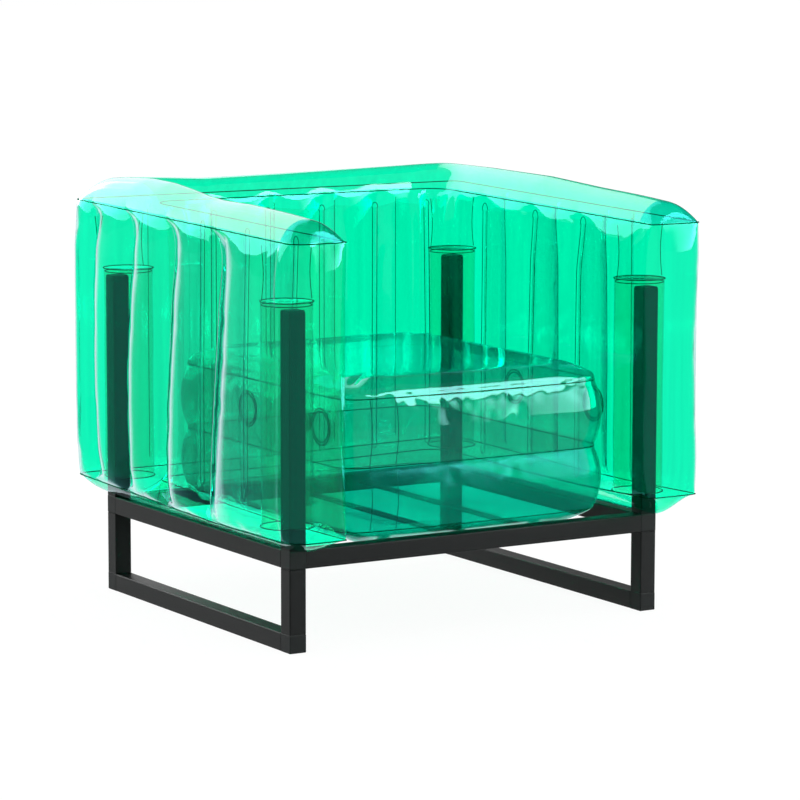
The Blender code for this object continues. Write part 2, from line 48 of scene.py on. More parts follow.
# Body of arms and back, seen from above
half_width = 0.413
wall = 0.104
front = -0.404
rear = 0.404
inner_x = half_width - wall
inner_rear = rear - wall
rail_top = 0.176

# Grid of the body's film: spans along an arm, along the back, across a wall and up a wall
arm_spans = 84
back_spans = 84
cross_spans = 8
rise_spans = 40
even_columns, eased_columns = 0.35, 0.65    # columns crowd towards the welds
even_rows, eased_rows = 0.45, 0.55    # rows crowd towards the seams
arm_end_columns = 14    # the last columns of the outer wall, which show the inner wall's film
middle_height = 0.45    # where the welds of a wall are put in order

# Seams and bulges of the body
bottom_seam_points = ((-0.404, 0.202), (-0.178, 0.199), (0.0, 0.201), (0.119, 0.205), (0.404, 0.212))
right_front_lift = 0.017    # the right arm's seam rises towards its front
lift_fall = 0.7
front_seam_height = 0.703
rear_seam_height = 0.720
seam_fade = 0.085    # how far from a seam the lobes reach their full swell
wall_bottom = 0.205    # the welds are read from here
wall_rise = 0.505    # up through this height
corner_sight = 6    # how many points away a corner's two directions are read
corner_scan = 40    # how many points a round corner may take up
corner_rounds = 24    # passes that soften the crown's mitre where an arm meets the back
corner_reach = 12    # and how many stations they reach
outer_swell = 0.012    # a lobe stands out by its swell
outer_draw = 0.010    # and its weld lies in by its draw
inner_swell = 0.010
inner_draw = 0.005
front_swell = 0.006
lobe_fullness = 3.0    # 2 is a round lobe, more is a flat one with steep sides
lobe_radii = {"front_left": 0.036, "front_right": 0.022, "rear": 0.020, "inner_front": 0.014, "inner": 0.060}
seam_radii = {"front_left": 0.026, "front_right": 0.012, "rear": 0.016, "inner_front": 0.006, "inner": 0.045}

# Crown: (distance along the wall, rise above the seam), and how it falls at the front of an arm
right_arm_crown = ((-0.404, 0.038), (-0.160, 0.0425), (0.0, 0.048), (0.2, 0.046), (0.352, 0.042))
left_arm_crown = ((-0.404, 0.038), (-0.160, 0.0425), (-0.06, 0.0405), (0.0, 0.043), (0.06, 0.049),
                  (0.12, 0.054), (0.2, 0.0545), (0.3, 0.048), (0.352, 0.044))
back_crown = ((-0.376, 0.043), (-0.300, 0.041), (-0.180, 0.034), (0.0, 0.036), (0.1, 0.038),
              (0.25, 0.041), (0.376, 0.044))
crown_roundness = 0.62
crown_corner = 0.05
crown_end = 0.040
crown_lean = 0.160
crown_drop = 0.10
# the region of the arms' front ends that takes the darker film of painted shade
arm_end_height = 0.5
arm_end_depth = 0.046

# Underside, which lies on the rails
underside_height = rail_top + 0.0012
underside_front = 0.065
underside_front_roundness = 0.8
underside_roundness = {"left": 0.8, "right": 1.3}

# Valves, with the height or depth of the flat of film behind each flange
back_valve = (0.0716, 0.4114, 0.268)
back_valve_floor = 0.4062
seat_valve = (-0.0775, 0.1433, 0.1625)
seat_valve_floor = 0.1658
valve_flat = 0.030
valve_depth = 0.02

# Cloth: pressure, spare film, and the furthest that a vertex may move
body_pressure = 2.0
body_spare = 0.002
body_cap = 0.003
cloth_frames = 20

# Weld lines: (height, distance along the wall) from bottom to top
left_outer_welds = (
    ((0.207, -0.092), (0.292, -0.097), (0.391, -0.106), (0.492, -0.119), (0.573, -0.129), (0.689, -0.151)),
    ((0.207, 0.027), (0.224, 0.057), (0.252, 0.063), (0.305, 0.066), (0.391, 0.062), (0.493, 0.050),
     (0.577, 0.041), (0.650, 0.026), (0.691, 0.016)),
    ((0.207, 0.170), (0.219, 0.189), (0.250, 0.208), (0.331, 0.214), (0.434, 0.215), (0.561, 0.202),
     (0.645, 0.186), (0.691, 0.167), (0.713, 0.157)),
    ((0.207, 0.288), (0.228, 0.310), (0.262, 0.329), (0.360, 0.343), (0.505, 0.345), (0.562, 0.345),
     (0.632, 0.338), (0.707, 0.304)),
)
right_outer_welds = (
    ((0.220, -0.208), (0.690, -0.205)),
    ((0.220, -0.131), (0.426, -0.131), (0.592, -0.127), (0.679, -0.120)),
    ((0.220, 0.030), (0.409, 0.030), (0.596, 0.033), (0.689, 0.044)),
    ((0.220, 0.210), (0.408, 0.210), (0.581, 0.211), (0.699, 0.218)),
)
outer_back_welds = (
    ((0.220, -0.268), (0.690, -0.268)),
    ((0.220, -0.135), (0.690, -0.135)),
    ((0.220, 0.000), (0.690, 0.000)),
    ((0.220, 0.132), (0.690, 0.132)),
    ((0.220, 0.268), (0.690, 0.268)),
)
left_inner_welds = (
    ((0.230, -0.225), (0.430, -0.225), (0.680, -0.240)),
    ((0.230, -0.060), (0.430, -0.060), (0.680, -0.070)),
    ((0.230, 0.100), (0.430, 0.100), (0.680, 0.094)),
)
right_inner_welds = (
    ((0.230, -0.165), (0.427, -0.165), (0.601, -0.167), (0.680, -0.180)),
    ((0.230, -0.011), (0.430, -0.011), (0.606, -0.016), (0.680, -0.024)),
    ((0.230, 0.150), (0.431, 0.150), (0.680, 0.147)),
)
inner_back_welds = (
    ((0.230, -0.178), (0.680, -0.178)),
    ((0.230, -0.063), (0.680, -0.063)),
    ((0.230, 0.052), (0.680, 0.052)),
    ((0.230, 0.167), (0.680, 0.168)),
    ((0.230, 0.286), (0.446, 0.286), (0.680, 0.282)),
)
weld_bottom = 0.232
outer_weld_top = 0.696
inner_weld_top = 0.686

# Each inner weld is drawn as a hairpin: two lines with a round bottom and a taller, wider top
arm_hairpin_gap = 0.014
back_hairpin_gap = 0.010
hairpin_steps = 6
hairpin_top_width = 1.3
hairpin_top_height = 2

# Webs and drawn lines
web_spans = 4
line_radius = 0.0007
seam_line_radius = 0.0010


# Small helpers

def select_only(obj=None):
    bpy.ops.object.select_all(action="DESELECT")
    if obj:
        bpy.context.view_layer.objects.active = obj
        obj.select_set(True)


def shade_smooth(obj):
    for polygon in obj.data.polygons:
        polygon.use_smooth = True


def ring_faces(levels, count):
    """Quads between closed rings of vertices, one ring above the other."""
    return [(level * count + k, level * count + (k + 1) % count, (level + 1) * count + (k + 1) % count,
             (level + 1) * count + k) for level in range(levels) for k in range(count)]


def sheet_faces(base, levels, spans):
    """Quads of an open sheet whose rows of vertices start at base."""
    starts = [base + level * (spans + 1) + step for level in range(levels) for step in range(spans)]
    return [(k, k + 1, k + spans + 2, k + spans + 1) for k in starts]


def new_object(name, vertices, faces, material):
    mesh = bpy.data.meshes.new(name)
    mesh.from_pydata([tuple(v) for v in vertices], [], faces)
    mesh.materials.append(material)
    mesh.validate()
    obj = bpy.data.objects.new(name, mesh)
    bpy.context.collection.objects.link(obj)
    shade_smooth(obj)
    return obj


def apply_modifier(obj, kind, **settings):
    select_only(obj)
    modifier = obj.modifiers.new(kind.title(), kind)
    for key, value in settings.items():
        setattr(modifier, key, value)
    bpy.ops.object.modifier_apply(modifier=modifier.name)


def tubes(name, paths, radius, material, cyclic=()):
    """Thin round lines through the given paths, as one mesh."""
    curve = bpy.data.curves.new(name, "CURVE")
    curve.dimensions = "3D"
    curve.bevel_depth = radius
    curve.bevel_resolution = 1
    curve.use_fill_caps = True
    for index, path in enumerate(paths):
        spline = curve.splines.new("POLY")
        spline.points.add(len(path) - 1)
        for point, place in zip(spline.points, path):
            point.co = (*place, 1)
        spline.use_cyclic_u = index in cyclic
    obj = bpy.data.objects.new(name, curve)
    bpy.context.collection.objects.link(obj)
    select_only(obj)
    bpy.ops.object.convert(target="MESH")
    obj.data.materials.clear()
    obj.data.materials.append(material)
    shade_smooth(obj)
    return obj


# Materials

def linear(code):
    """sRGB hex to linear colour."""
    values = [int(code[i:i + 2], 16) / 255 for i in (1, 3, 5)]
    return tuple(v / 12.92 if v <= 0.04045 else ((v + 0.055) / 1.055) ** 2.4 for v in values) + (1,)


def add_node(tree, kind, settings=None, **inputs):
    """Adds a node; each input is a value or another node's output.

    An input is given by its name, with underscores for spaces, or by i and its number.
    """
    node = tree.nodes.new(kind)
    for key, value in (settings or {}).items():
        setattr(node, key, value)
    for key, value in inputs.items():
        numbered = key[0] == "i" and key[1:].isdigit()
        socket = node.inputs[int(key[1:]) if numbered else key.replace("_", " ")]
        if isinstance(value, bpy.types.NodeSocket):
            tree.links.new(value, socket)
        else:
            socket.default_value = value
    return node


def ramp(tree, value, from_min=0.0, from_max=1.0, to_min=0.0, to_max=1.0, smooth=False):
    settings = {"interpolation_type": "SMOOTHSTEP"} if smooth else None
    return add_node(tree, "ShaderNodeMapRange", settings, Value=value, From_Min=from_min, From_Max=from_max,
                    To_Min=to_min, To_Max=to_max).outputs[0]


def maths(tree, operation, *values):
    inputs = {f"i{index}": value for index, value in enumerate(values)}
    return add_node(tree, "ShaderNodeMath", {"operation": operation}, **inputs).outputs[0]


def blend(tree, factor, first, second, kind="MIX"):
    settings = {"data_type": "RGBA", "blend_type": kind}
    return add_node(tree, "ShaderNodeMix", settings, Factor=factor, i6=first, i7=second).outputs[2]


def noise_map(tree, place, scale, detail):
    return add_node(tree, "ShaderNodeTexNoise", None, Vector=place, Scale=scale, Detail=detail).outputs[0]


def layer(tree, kind, **inputs):
    return add_node(tree, f"ShaderNode{kind}", None, **inputs).outputs[0]


def new_material(name):
    material = bpy.data.materials.new(name)
    material.use_nodes = True
    material.node_tree.nodes.clear()
    return material, material.node_tree


def tinted_film(name, tint, deep_tint, sheen, white_from, glance, haze, gloss_roughness, ripple):
    """Clear tinted PVC film: the first layers give the hue, the next ones only darken, low angles mirror.

    tint and deep_tint: what the first layer and the fifth let through.
    sheen: colour of a face-on reflection, which turns white from the angle white_from on.
    glance: how much of a slanting view is mirror. haze: how milky the film is.
    """
    material, tree = new_material(name)
    place = add_node(tree, "ShaderNodeTexCoord").outputs["Object"]
    streaks = noise_map(tree, layer(tree, "Mapping", Vector=place, Scale=(60, 60, 2.2)), 1.0, 2.0)
    waves = noise_map(tree, place, 38.0, 2.0)
    bump = layer(tree, "Bump", Strength=ripple, Distance=0.002, Height=waves)
    facing = add_node(tree, "ShaderNodeLayerWeight", None, Blend=0.5, Normal=bump).outputs["Facing"]
    share = ramp(tree, maths(tree, "POWER", facing, 5.0), to_min=veil_share)
    grazed = ramp(tree, facing, 0.55, 0.76, to_max=glance, smooth=True)
    share = maths(tree, "MAXIMUM", share, grazed)
    layers = add_node(tree, "ShaderNodeLightPath").outputs["Transparent Depth"]
    colour = blend(tree, ramp(tree, layers, from_max=4.0), linear(tint), linear(deep_tint))
    uneven = ramp(tree, streaks, 0.3, 0.7, 0.945)
    clear = layer(tree, "BsdfTransparent", Color=blend(tree, 1.0, colour, uneven, "MULTIPLY"))
    if haze:
        milky = layer(tree, "BsdfDiffuse", Color=linear("#00B498"))
        clear = layer(tree, "MixShader", i0=haze, i1=clear, i2=milky)
    whiter = ramp(tree, facing, white_from, white_from + 0.28, smooth=True)
    mirror = blend(tree, whiter, linear(sheen), linear("#DDEEF5"))
    gloss = layer(tree, "BsdfGlossy", Color=mirror, Roughness=gloss_roughness, Normal=bump)
    mix = layer(tree, "MixShader", i0=share, i1=clear, i2=gloss)
    add_node(tree, "ShaderNodeOutputMaterial", None, Surface=mix)
    return material


def weld_line(name, tint):
    """Where two films are pressed into one: thicker, darker, still clear."""
    material, tree = new_material(name)
    clear = layer(tree, "BsdfTransparent", Color=linear(tint))
    gloss = layer(tree, "BsdfGlossy", Color=linear("#30B898"), Roughness=0.15)
    facing = add_node(tree, "ShaderNodeLayerWeight", None, Blend=0.2).outputs["Facing"]
    mix = layer(tree, "MixShader", i0=ramp(tree, facing, to_min=0.02, to_max=0.25), i1=clear, i2=gloss)
    add_node(tree, "ShaderNodeOutputMaterial", None, Surface=mix)
    return material


def powder_coat(name, base, pale, grain_mm, roughness):
    """Powder-coated steel: near black, faintly green, with a fine orange-peel grain."""
    material, tree = new_material(name)
    place = add_node(tree, "ShaderNodeTexCoord").outputs["Object"]
    grain = noise_map(tree, place, 1000 / grain_mm, 3.0)
    colour = blend(tree, noise_map(tree, place, 14.0, 3.0), linear(base), linear(pale))
    rough = ramp(tree, grain, to_min=roughness - 0.06, to_max=roughness + 0.06)
    bump = layer(tree, "Bump", Strength=0.25, Distance=0.0004, Height=grain)
    coat = layer(tree, "BsdfPrincipled", Base_Color=colour, Roughness=rough, Normal=bump, IOR=1.20)
    add_node(tree, "ShaderNodeOutputMaterial", None, Surface=coat)
    return material


veil_share = 0.032    # share of a face-on view of any film that is reflection

# Outer walls: bright clear green, with white streaks where the lobes turn into the welds
body_film = tinted_film("clear_green_pvc_body", "#19FDD6", "#30FDFC", "#80ECF0", 0.50, 0.80, 0, 0.02, 0.03)

# Inner walls: the same green without the streaks, since their welds hardly draw in
inner_wall_film = tinted_film("clear_green_pvc_inner_wall", "#19FDD6", "#30FDFC", "#80ECF0", 0.56, 0, 0,
                              0.02, 0.03)

# Front ends of the arms: the same film with a darker tint, painted shade for the dark front of the crown, with
# soft highlights only
end_painted_shade_film = tinted_film("clear_green_pvc_arm_end_painted_shade", "#19DCC4", "#30D8D0", "#59E0F0", 0.66, 0, 0, 0.14, 0.03)

# Crown and underside: a broad pale mint shine over green
panel_film = tinted_film("clear_green_pvc_panel", "#19FDD6", "#30FDFC", "#B8F2E8", 0.38, 0, 0, 0.02, 0.03)

# Webs and hangers inside the walls: nearly colourless, seen by their edges
inner_film = tinted_film("clear_green_pvc_webs", "#60FCE6", "#80FCF8", "#59E0F0", 0.62, 0, 0, 0.03, 0.03)

# Upper tier of the seat: deeper green, a little milky, with sharp white highlights
seat_film = tinted_film("clear_green_pvc_seat", "#19E6CC", "#30E8E6", "#A0F0F0", 0.60, 0, 0.20, 0.02, 0.03)

# Lower tier of the seat: as deep, with blurred highlights
seat_base_film = tinted_film("clear_green_pvc_seat_base", "#19E2C8", "#30DEDC", "#58CCD4", 0.60, 0, 0.18,
                             0.22, 0.04)

# Sleeves: thin rippled tubes that darken the post inside them a little
sleeve_film = tinted_film("clear_green_pvc_sleeve", "#19FAD2", "#30F8F4", "#50D8E8", 0.62, 0, 0.06, 0.03, 0.08)

# Round patches of the seat: faint discs inside their ring welds
patch_film = tinted_film("clear_green_pvc_patch", "#80F4DC", "#A0F8F0", "#50D8E8", 0.62, 0, 0, 0.03, 0.03)

# Valves and stoppers: thicker moulded plastic, milky green
valve_plastic = tinted_film("moulded_clear_pvc_valve", "#50D8B8", "#70E0D0", "#B0F4F8", 0.50, 0, 0.40,
                            0.12, 0.02)

# Seams and welds: dark green lines, thinner and lighter on the outer walls
weld_film = weld_line("pressed_pvc_weld", "#007858")
faint_weld_film = weld_line("pressed_pvc_weld_thin", "#10A884")

# Frame: satin near-black tube, slightly duller castings, matt plugs, and screws with a darker gleam
coated_steel = powder_coat("powder_coated_steel_tube", "#090B0B", "#111414", 0.9, 0.46)
coated_casting = powder_coat("powder_coated_cast_block", "#0E1111", "#161A1A", 1.2, 0.52)
moulded_plug = powder_coat("moulded_black_plug", "#141616", "#1C1F1F", 1.5, 0.55)
oxide_screw = powder_coat("black_oxide_screw", "#1A1C1C", "#26292A", 0.6, 0.35)


# The body of arms and back

def top_seam(y):
    """Height of the body's top seam, which rises towards the back."""
    return front_seam_height + (rear_seam_height - front_seam_height) * (y - front) / (rear - front)


def bottom_seam(place):
    """Height of the body's bottom seam, higher at the front of the right arm."""
    backwards = 1 - lift_fall * (place.y - front) / (rear - front)
    lift = right_front_lift * min(max(place.x / inner_x, 0), 1) * backwards
    return float(np.interp(place.y, *zip(*bottom_seam_points))) + lift


def weld_at(weld, height):
    """Distance along the wall at which a weld stands at one height."""
    return float(np.interp(height, *zip(*weld)))


def knots_for(welds, start, end, spans):
    """Columns of the grid that follow the welds, from the start of the wall to its end."""
    middle = [weld_at(weld, middle_height) for weld in welds]
    order = sorted(range(len(welds)), key=lambda k: abs(middle[k] - start))
    columns = [round(spans * abs(middle[k] - start) / abs(end - start)) for k in order]
    return [0, *columns, spans], [welds[k] for k in order]


def wall_row(knots, welds, start, end, height, swell, draw):
    """Places along one wall at one height, and how far each stands out of it."""
    stops = [start, *[weld_at(weld, height) for weld in welds], end]
    places = np.zeros(knots[-1] + 1)
    bulge = np.zeros(knots[-1] + 1)
    for index, (low, high) in enumerate(zip(knots, knots[1:])):
        share = (np.arange(low, high + 1) - low) / (high - low)
        share = even_columns * share + eased_columns * (0.5 - 0.5 * np.cos(np.pi * share))
        places[low:high + 1] = stops[index] + share * (stops[index + 1] - stops[index])
        arc = 1 - abs(2 * share - 1) ** lobe_fullness
        low_draw = 0 if low == 0 else draw
        high_draw = 0 if high == knots[-1] else draw
        ends = -(low_draw * (1 - share) + high_draw * share)
        bulge[low:high + 1] = ends + arc * (swell - ends)
    return places, bulge


# Each wall: its welds, where it starts and ends along its run, its spans, and whether it is an inner one
walls = {
    "right_outer": (right_outer_welds, front, rear, arm_spans, False),
    "back_outer": (outer_back_welds, half_width, -half_width, back_spans, False),
    "left_outer": (left_outer_welds, rear, front, arm_spans, False),
    "right_inner": (right_inner_welds, front, inner_rear, arm_spans, True),
    "back_inner": (inner_back_welds, inner_x, -inner_x, back_spans, True),
    "left_inner": (left_inner_welds, inner_rear, front, arm_spans, True),
}


def wall_point(wall, along, out):
    """The plan of a point along a wall that stands out of it."""
    return Vector({
        "right_outer": (half_width + out, along), "left_outer": (-half_width - out, along),
        "back_outer": (along, rear + out), "right_inner": (inner_x - out, along),
        "left_inner": (-inner_x + out, along), "back_inner": (along, inner_rear - out),
    }[wall])


def outline(height, lobes):
    """The closed plan of the body at one height: outer points and inner points, paired along the U."""
    rows = {}
    for name, (welds, start, end, spans, inner) in walls.items():
        knots, ordered = knots_for(welds, start, end, spans)
        swell, draw = (inner_swell, inner_draw) if inner else (outer_swell, outer_draw)
        places, bulge = wall_row(knots, ordered, start, end, height, swell, draw)
        if not lobes:
            bulge = bulge * 0
        rows[name] = [wall_point(name, place, out) for place, out in zip(places, bulge)]
    outer = rows["right_outer"] + rows["back_outer"][1:] + rows["left_outer"][1:]
    inner = rows["right_inner"] + rows["back_inner"][1:] + rows["left_inner"][1:]
    return outer, inner


def front_face(start, end, lobes):
    """Points across the front of an arm, without its ends."""
    points = []
    for step in range(1, cross_spans):
        share = step / cross_spans
        point = start.lerp(end, share)
        point.y = front - (front_swell * 4 * share * (1 - share) if lobes else 0)
        points.append(point)
    return points


def round_corners(loop, corners, radius_of):
    """Rounds the loop at the corners (place in loop, kind) by sliding points onto an arc."""
    result = [p.copy() for p in loop]
    count = len(loop)
    for index, kind in corners:
        radius = radius_of[kind]
        corner = loop[index]
        for direction in (-1, 1):
            neighbour = loop[(index + direction * corner_sight) % count]
            other = loop[(index - direction * corner_sight) % count]
            along = (neighbour - corner).normalized()
            across = (other - corner).normalized()
            for step in range(corner_scan):
                if direction == 1 and step == 0:
                    continue
                k = (index + direction * step) % count
                distance = (loop[k] - corner).dot(along)
                if distance >= radius:
                    break
                angle = math.radians(45) * (1 - distance / radius)
                centre = corner + (along + across) * radius
                reach = radius - (loop[k] - corner).dot(across)
                result[k] = centre - across * reach * math.cos(angle) - along * reach * math.sin(angle)
    return result


def body_loop(height, lobes):
    """The whole closed loop at one height, with its corners rounded."""
    outer, inner = outline(height, lobes)
    left_front = front_face(outer[-1], inner[-1], lobes)
    right_front = front_face(inner[0], outer[0], lobes)
    loop = outer + left_front + inner[::-1] + right_front
    last = len(outer) - 1
    inner_start = len(outer) + len(left_front)
    corners = [
        (0, "front_right"), (arm_spans, "rear"), (arm_spans + back_spans, "rear"), (last, "front_left"),
        (inner_start, "inner_front"), (inner_start + arm_spans, "inner"),
        (inner_start + arm_spans + back_spans, "inner"), (inner_start + last, "inner_front"),
    ]
    return round_corners(loop, corners, lobe_radii if lobes else seam_radii)


def fade(distance, reach):
    """Rises from 0 to 1 over the reach along a quarter circle."""
    share = min(max(distance / reach, 0), 1)
    return math.sqrt(1 - (1 - share) ** 2)


def inflate(obj, pinned, pressure, spare, cap):
    """Blows the film up between its pinned seams and welds with cloth simulation, and applies it.

    spare: by how much the film is larger than its rest shape. cap: the furthest that a vertex may move.
    """
    start = [v.co.copy() for v in obj.data.vertices]
    group = obj.vertex_groups.new(name="seams")
    group.add(pinned, 1.0, "REPLACE")
    cloth = obj.modifiers.new("film", "CLOTH")
    settings = cloth.settings
    settings.quality = 4
    settings.mass = 0.2
    settings.tension_stiffness = settings.compression_stiffness = 20
    settings.shear_stiffness = 8
    settings.bending_stiffness = 0.15
    settings.shrink_min = -spare
    settings.use_pressure = True
    settings.uniform_pressure_force = pressure
    settings.vertex_group_mass = "seams"
    settings.effector_weights.gravity = 0
    cloth.point_cache.frame_start = 1
    cloth.point_cache.frame_end = cloth_frames
    scene = bpy.context.scene
    for step in range(1, cloth_frames + 1):
        scene.frame_set(step)
    select_only(obj)
    bpy.ops.object.modifier_apply(modifier=cloth.name)
    scene.frame_set(1)
    obj.vertex_groups.clear()
    for vertex, before in zip(obj.data.vertices, start):
        move = vertex.co - before
        if move.length > cap:
            vertex.co = before + move * (cap / move.length)


def recess_round_valve(film, centre, axis, side, floor):
    """Draws the film in behind a valve's flange, so that the stopper lies outside it and can open."""
    for vertex in film.data.vertices:
        away = vertex.co - Vector(centre)
        if side * away[axis] < -valve_depth:
            continue
        away[axis] = 0
        share = min(max((away.length - valve_flat) / valve_flat, 0), 1)
        limit = floor + side * valve_flat * share * share
        if side * (vertex.co[axis] - limit) > 0:
            vertex.co[axis] = limit


def weld_columns():
    """Places in the body's loop that lie on a weld, with the height of the weld's top."""
    outer_count = 2 * arm_spans + back_spans + 1
    inner_start = outer_count + cross_spans - 1
    columns = []
    firsts = {"right": 0, "back": arm_spans, "left": arm_spans + back_spans}
    for name, (welds, start, end, spans, inner) in walls.items():
        first = firsts[name.split("_")[0]]
        knots, _ = knots_for(welds, start, end, spans)
        for column in knots[1:-1]:
            if inner:
                columns.append((inner_start + outer_count - 1 - (first + column), inner_weld_top))
            else:
                columns.append((first + column, outer_weld_top))
    return columns


def build_body():
    """The film of arms and back: lobed walls between two seams, with a crown above and a panel below."""
    outer_count = 2 * arm_spans + back_spans + 1
    loop_count = 2 * outer_count + 2 * (cross_spans - 1)
    shares = [0.5 - 0.5 * math.cos(math.pi * k / rise_spans) for k in range(rise_spans + 1)]
    shares = [eased_rows * a + even_rows * k / rise_spans for k, a in enumerate(shares)]
    plain = body_loop(middle_height, False)
    rings = []
    for share in shares:
        lobed = body_loop(wall_bottom + share * wall_rise, True)
        ring = []
        for flat, full in zip(plain, lobed):
            low, high = bottom_seam(flat), top_seam(flat.y)
            height = low + (high - low) * share
            lobe_share = min(fade(high - height, seam_fade), fade(height - low, seam_fade))
            place = flat.lerp(full, lobe_share)
            ring.append(Vector((place.x, place.y, height)))
        rings.append(ring)
    vertices = [p for ring in rings for p in ring]
    faces = ring_faces(rise_spans, loop_count)
    inner_start = outer_count + cross_spans - 1

    def partner(station):
        """The point of the inner wall across from a point of the outer one."""
        return inner_start + (outer_count - 1 - station)

    def panel(level, height_of, flip):
        """The film across the wall's top or bottom, from its outer seam to its inner one."""
        base = level * loop_count
        grid = []
        for station in range(outer_count):
            a, b = base + station, base + partner(station)
            row = [a]
            for step in range(1, cross_spans):
                share = step / cross_spans
                if station == 0:
                    row.append(base + inner_start + outer_count + (cross_spans - 1 - step))
                elif station == outer_count - 1:
                    row.append(base + outer_count + step - 1)
                else:
                    place = vertices[a].lerp(vertices[b], share)
                    place.z += height_of(place, share)
                    vertices.append(place)
                    row.append(len(vertices) - 1)
            row.append(b)
            grid.append(row)
        for low, high in zip(grid, grid[1:]):
            for step in range(cross_spans):
                quad = (low[step], high[step], high[step + 1], low[step + 1])
                faces.append(quad[::-1] if flip else quad)
        return grid

    def crown(place, share):
        arm_crown = right_arm_crown if place.x > 0 else left_arm_crown
        on_arm = place.y < inner_rear or abs(place.x) > inner_x + crown_corner
        rise = float(np.interp(place.y, *zip(*arm_crown)) if on_arm else np.interp(place.x, *zip(*back_crown)))
        distance = place.y - front
        fall = fade(distance, crown_end) * (1 - crown_drop * max(0, 1 - distance / crown_lean) ** 2)
        return rise * math.sin(math.pi * share) ** crown_roundness * fall

    def underside(place, share):
        depth = underside_height - bottom_seam(place)
        roundness = underside_roundness["right" if place.x > inner_x else "left"]
        fall = math.sin(math.pi / 2 * min((place.y - front) / underside_front, 1)) ** underside_front_roundness
        return depth * math.sin(math.pi * share) ** roundness * fall

    wall_face_count = len(faces)
    panels_start = len(vertices)
    top_grid = panel(rise_spans, crown, False)
    round_the_corners(vertices, top_grid)
    panel(0, underside, True)
    body = new_object("body_of_arms_and_back", vertices, faces, body_film)
    pinned = list(range(loop_count)) + list(range(rise_spans * loop_count, (rise_spans + 1) * loop_count))
    pinned += list(range(panels_start, len(vertices)))
    for column, top in weld_columns():
        for level in range(1, rise_spans):
            index = level * loop_count + column
            if weld_bottom < vertices[index].z < top:
                pinned.append(index)
    inflate(body, pinned, body_pressure, body_spare, body_cap)
    recess_round_valve(body, back_valve, 1, 1, back_valve_floor)
    for film in (panel_film, inner_wall_film, end_painted_shade_film):
        body.data.materials.append(film)
    panel_index, inner_wall_index, end_shade_index = 1, 2, 3
    for index, polygon in enumerate(body.data.polygons):
        if index >= wall_face_count:
            # the front ends of the arms get the darker film: painted shade
            at_end = polygon.center.z > arm_end_height and polygon.center.y < front + arm_end_depth
            polygon.material_index = end_shade_index if at_end else panel_index
        elif index % loop_count > outer_count - arm_end_columns:
            polygon.material_index = inner_wall_index
    apply_modifier(body, "SUBSURF", levels=1, render_levels=1)
    return body


def round_the_corners(vertices, grid):
    """Softens the mitre of the top panel where an arm meets the back."""
    for _ in range(corner_rounds):
        moved = {}
        for station in range(1, len(grid) - 1):
            along = min(abs(station - arm_spans), abs(station - arm_spans - back_spans))
            weight = 0.5 * max(0, 1 - along / corner_reach)
            if weight <= 0:
                continue
            for step in range(1, cross_spans):
                here = vertices[grid[station][step]]
                beside = (vertices[grid[station - 1][step]] + vertices[grid[station + 1][step]]) / 2
                moved[grid[station][step]] = here.lerp(beside, weight)
        for index, place in moved.items():
            vertices[index] = place


def on_body(side, weld, height):
    """A point of a weld line on the wall, at its place between the seams."""
    draw = inner_draw if side.endswith("inner") else outer_draw
    return Vector((*wall_point(side, weld_at(weld, height), -draw), height))


def heights(low, high, count=24):
    """Even levels from low to high."""
    return [low + (high - low) * k / count for k in range(count + 1)]


def build_webs():
    """Folded film inside the walls, from each outer weld to the inner welds beside it."""
    vertices, faces = [], []
    for run in ("left", "right", "back"):
        lines = [(side, weld) for side in (f"{run}_outer", f"{run}_inner") for weld in walls[side][0]]
        lines.sort(key=lambda item: weld_at(item[1], middle_height))
        for (side_a, weld_a), (side_b, weld_b) in zip(lines, lines[1:]):
            if side_a == side_b:
                continue
            base = len(vertices)
            levels = heights(weld_bottom, inner_weld_top)
            for height in levels:
                a, b = on_body(side_a, weld_a, height), on_body(side_b, weld_b, height)
                for step in range(web_spans + 1):
                    vertices.append(a.lerp(b, step / web_spans))
            faces += sheet_faces(base, len(levels) - 1, web_spans)
    return new_object("webs_inside_the_walls", vertices, faces, inner_film)


def build_weld_lines():
    """The welds of the walls: single lines on the outer walls, hairpins on the inner ones."""
    paths = []
    for side in ("left_outer", "right_outer", "back_outer"):
        for weld in walls[side][0]:
            paths.append([on_body(side, weld, h) for h in heights(weld_bottom, outer_weld_top)])
    outer_lines = tubes("outer_weld_lines", paths, line_radius, faint_weld_film)
    paths = []
    for side in ("left_inner", "right_inner", "back_inner"):
        along = Vector((1, 0, 0)) if side == "back_inner" else Vector((0, 1, 0))
        for weld in walls[side][0]:
            half = (back_hairpin_gap if side == "back_inner" else arm_hairpin_gap) / 2
            levels = heights(weld_bottom, inner_weld_top)
            up = [on_body(side, weld, h) - along * half for h in levels]
            down = [on_body(side, weld, h) + along * half for h in levels][::-1]
            top = [on_body(side, weld, inner_weld_top) + along * half * hairpin_top_width * math.cos(a)
                   + Vector((0, 0, half * hairpin_top_height * math.sin(a)))
                   for a in [math.pi * (1 - k / hairpin_steps) for k in range(hairpin_steps + 1)]]
            bottom = [on_body(side, weld, weld_bottom) + along * half * math.cos(a)
                      - Vector((0, 0, half * math.sin(a)))
                      for a in [math.pi * k / hairpin_steps for k in range(hairpin_steps + 1)]]
            paths.append(up + top + down + bottom)
    inner_lines = tubes("inner_weld_lines", paths, line_radius, weld_film, cyclic=range(len(paths)))
    return [outer_lines, inner_lines]


def build_seam_lines():
    """The two seams that run round the whole body."""
    plain = body_loop(middle_height, False)
    top = [Vector((p.x, p.y, top_seam(p.y))) for p in plain]
    bottom = [Vector((p.x, p.y, bottom_seam(p))) for p in plain]
    return tubes("body_seams", [top, bottom], seam_line_radius, weld_film, cyclic=(0, 1))


# Sleeves of film round the posts

